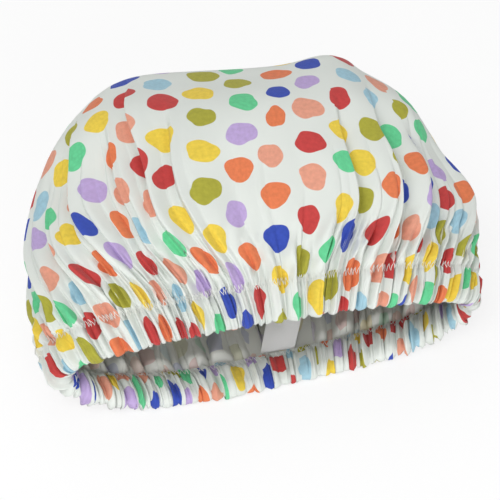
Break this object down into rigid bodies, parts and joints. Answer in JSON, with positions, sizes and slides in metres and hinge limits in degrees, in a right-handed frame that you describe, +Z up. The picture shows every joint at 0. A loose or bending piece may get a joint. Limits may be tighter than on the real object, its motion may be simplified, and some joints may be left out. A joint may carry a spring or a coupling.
{
  "type": "shower cap",
  "caption": "Gathered cloth shower cap lying on its back: dotted cloth over a waterproof lining, elastic hem casing with zigzag stitching and a folded label inside.",
  "frame": {"origin": "middle of the cap's footprint, on the surface that the back of the cap lies on", "axes": "+X to the right across the mouth, +Y away from the mouth, +Z up from the back of the cap to its front"},
  "size_m": [0.2676, 0.176, 0.1146],
  "materials": {
    "printed_cloth": "matte woven cotton with a multicolour dot print on off-white",
    "lining_film": "satin waterproof film, print showing through",
    "woven_elastic": "matte woven elastic",
    "sewing_thread": "spun polyester thread",
    "label_ribbon": "plain satin ribbon"
  },
  "bodies": {
    "back_half": {"crown_back": "printed_cloth", "lining_back": "lining_film", "hem_casing_back": "printed_cloth", "casing_thread_inner_back": "sewing_thread", "elastic_band": "woven_elastic", "elastic_join_thread": "sewing_thread"},
    "front_half": {"crown_front": "printed_cloth", "lining_front": "lining_film", "hem_casing_front": "printed_cloth", "casing_thread_outer_front": "sewing_thread", "casing_thread_inner_front": "sewing_thread"},
    "label": {"care_label": "label_ribbon"}
  },
  "joints": [
    {"name": "mouth_opening", "type": "hinge", "parent": "back_half", "child": "front_half", "pos_m": [0, 0.088, 0.0502], "axis": [-1, 0, 0], "range_deg": [0, 25], "stiffness_Nm_per_rad": 0.5, "deforming": ["elastic_band"]},
    {"name": "label_flap", "type": "hinge", "parent": "back_half", "child": "label", "pos_m": [0, -0.06269, 0.0023], "axis": [1, 0, 0], "range_deg": [0, 90]}
  ]
}
